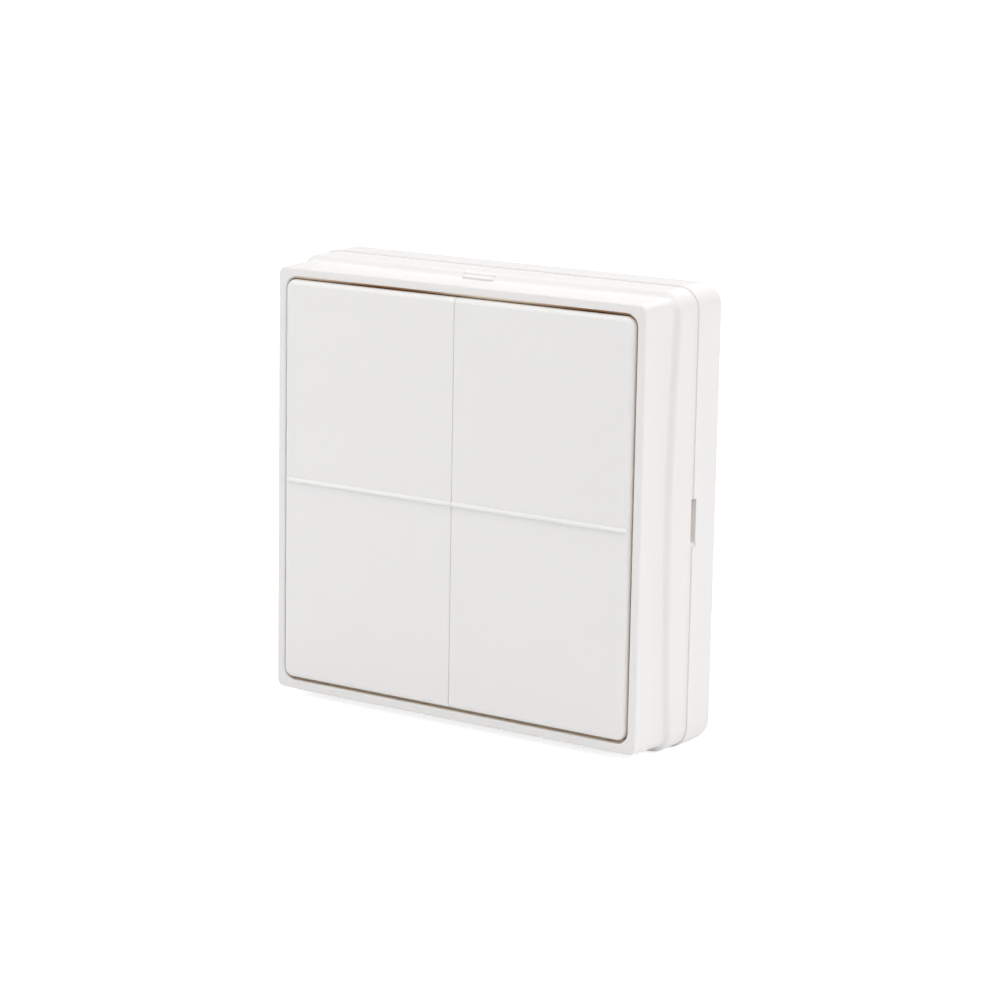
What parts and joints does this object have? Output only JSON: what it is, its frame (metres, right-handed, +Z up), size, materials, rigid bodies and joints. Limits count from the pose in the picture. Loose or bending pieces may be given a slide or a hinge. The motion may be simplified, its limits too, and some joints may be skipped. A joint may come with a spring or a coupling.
{
  "type": "wireless wall switch",
  "caption": "Square surface-mounted wireless wall switch: side-by-side full-height rockers with a raised mid ridge, set in a thin bezel on a stepped box-shaped case.",
  "frame": {"origin": "centre of the back face, on the wall", "axes": "+X to the right seen from the front, +Y into the wall, +Z up; the rockers face -Y"},
  "size_m": [0.0866, 0.0251, 0.0866],
  "materials": {
    "shell": "fine satin texture",
    "rocker": "fine satin texture",
    "carrier": "plain moulding",
    "screw": "zinc plated",
    "board": "solder mask",
    "shield": "tin plated",
    "chip": "moulded epoxy",
    "switch": "moulded",
    "stem": "moulded",
    "cell": "printed sleeve",
    "contact": "nickel plated"
  },
  "bodies": {
    "case": {"base": "shell", "housing": "shell", "bezel": "shell", "carrier": "carrier", "carrier_screws": "screw", "circuit_board": "board", "radio_shield": "shield", "controller_chip": "chip", "switch_upper_left": "switch", "switch_upper_right": "switch", "switch_lower_left": "switch", "switch_lower_right": "switch", "upper_cell": "cell", "lower_cell": "cell", "link_contact": "contact", "positive_contact": "contact", "negative_contact": "contact"},
    "left_rocker": {"left_rocker": "rocker"},
    "right_rocker": {"right_rocker": "rocker"},
    "stem_upper_left": {"stem_upper_left": "stem"},
    "stem_upper_right": {"stem_upper_right": "stem"},
    "stem_lower_left": {"stem_lower_left": "stem"},
    "stem_lower_right": {"stem_lower_right": "stem"}
  },
  "joints": [
    {"name": "left_rocker_tilt", "type": "hinge", "parent": "case", "child": "left_rocker", "pos_m": [-0.01963, -0.0206, 0], "axis": [1, 0, 0], "range_deg": [-1.5, 1.5], "stiffness_Nm_per_rad": 1.5},
    {"name": "stem_upper_left_slide", "type": "slide", "parent": "case", "child": "stem_upper_left", "axis": [0, 1, 0], "range_m": [-0.00064, 0.00064]},
    {"name": "stem_lower_left_slide", "type": "slide", "parent": "case", "child": "stem_lower_left", "axis": [0, 1, 0], "range_m": [-0.00064, 0.00064]},
    {"name": "right_rocker_tilt", "type": "hinge", "parent": "case", "child": "right_rocker", "pos_m": [0.01963, -0.0206, 0], "axis": [1, 0, 0], "range_deg": [-1.5, 1.5], "stiffness_Nm_per_rad": 1.5},
    {"name": "stem_upper_right_slide", "type": "slide", "parent": "case", "child": "stem_upper_right", "axis": [0, 1, 0], "range_m": [-0.00064, 0.00064]},
    {"name": "stem_lower_right_slide", "type": "slide", "parent": "case", "child": "stem_lower_right", "axis": [0, 1, 0], "range_m": [-0.00064, 0.00064]}
  ],
  "couplings": [
    {"joint": "stem_upper_left_slide", "follows": "left_rocker_tilt", "m_per_rad": -0.0241},
    {"joint": "stem_lower_left_slide", "follows": "left_rocker_tilt", "m_per_rad": 0.0241},
    {"joint": "stem_upper_right_slide", "follows": "right_rocker_tilt", "m_per_rad": -0.0241},
    {"joint": "stem_lower_right_slide", "follows": "right_rocker_tilt", "m_per_rad": 0.0241}
  ]
}
